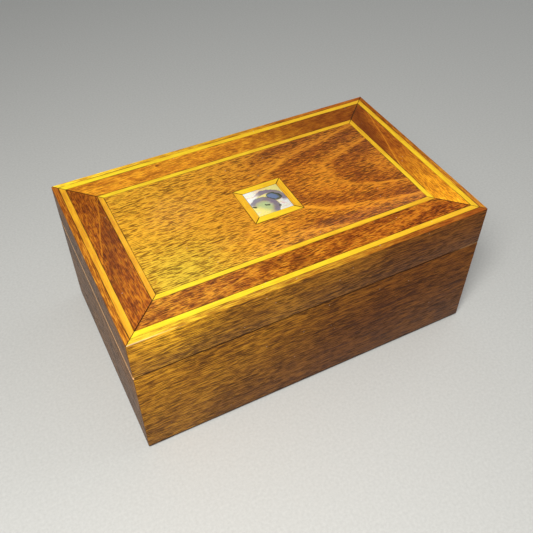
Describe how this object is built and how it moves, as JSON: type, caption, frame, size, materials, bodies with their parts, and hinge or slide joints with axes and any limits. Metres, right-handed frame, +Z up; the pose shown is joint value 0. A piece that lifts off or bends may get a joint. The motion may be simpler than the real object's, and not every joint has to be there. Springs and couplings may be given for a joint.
{
  "type": "poker chip case",
  "caption": "Glossy mitred wooden chip case with an inlaid, shell-centred hinged lid over a lift-out chip tray and a fixed lower chip rack.",
  "frame": {"origin": "middle of the footprint, on the surface the case stands on", "axes": "+X along the case to the right, +Y towards the hinges, +Z up"},
  "size_m": [0.267, 0.165, 0.114],
  "materials": {
    "case_wood": "gloss varnish",
    "crossband_wood": "gloss varnish",
    "centre_wood": "gloss varnish",
    "light_inlay": "gloss varnish",
    "shell": "polished shell",
    "hinge_brass": "satin",
    "lining": "short felt",
    "underside_felt": "felt",
    "panel_wood": "plain plywood",
    "tray_wood": "satin"
  },
  "bodies": {
    "base": {"base_front_wall": "case_wood", "base_back_wall": "case_wood", "base_left_wall": "case_wood", "base_right_wall": "case_wood", "bottom_panel": "panel_wood", "underside_felt": "underside_felt", "floor_lining": "lining", "left_tray_ledge": "tray_wood", "right_tray_ledge": "tray_wood", "lower_chip_rack": "tray_wood", "lower_rack_divider": "tray_wood", "lower_well_divider": "tray_wood", "left_hinge_base_leaf": "hinge_brass", "right_hinge_base_leaf": "hinge_brass", "left_hinge_pin": "hinge_brass", "right_hinge_pin": "hinge_brass", "base_hinge_screws": "hinge_brass"},
    "lid": {"lid_front_wall": "case_wood", "lid_back_wall": "case_wood", "lid_left_wall": "case_wood", "lid_right_wall": "case_wood", "lid_panel": "panel_wood", "lid_lining": "lining", "outer_string_front": "light_inlay", "outer_string_back": "light_inlay", "outer_string_left": "light_inlay", "outer_string_right": "light_inlay", "crossband_front": "crossband_wood", "crossband_back": "crossband_wood", "crossband_left": "crossband_wood", "crossband_right": "crossband_wood", "inner_string_front": "light_inlay", "inner_string_back": "light_inlay", "inner_string_left": "light_inlay", "inner_string_right": "light_inlay", "shell_frame_front": "light_inlay", "shell_frame_back": "light_inlay", "shell_frame_left": "light_inlay", "shell_frame_right": "light_inlay", "centre_panel": "centre_wood", "shell_square": "shell", "left_hinge_lid_leaf": "hinge_brass", "right_hinge_lid_leaf": "hinge_brass", "lid_hinge_screws": "hinge_brass"},
    "tray": {"tray_floor": "tray_wood", "tray_front_rail": "tray_wood", "tray_back_rail": "tray_wood", "tray_left_end": "tray_wood", "tray_right_end": "tray_wood", "tray_chip_rack": "tray_wood", "tray_rack_divider": "tray_wood", "tray_well_divider": "tray_wood"}
  },
  "joints": [
    {"name": "lid_hinge", "type": "hinge", "parent": "base", "child": "lid", "pos_m": [0, 0.0799, 0.082], "axis": [-1, 0, 0], "range_deg": [0, 95]},
    {"name": "tray_lift", "type": "slide", "parent": "base", "child": "tray", "axis": [0, 0, 1], "range_m": [0, 0.0348]}
  ]
}
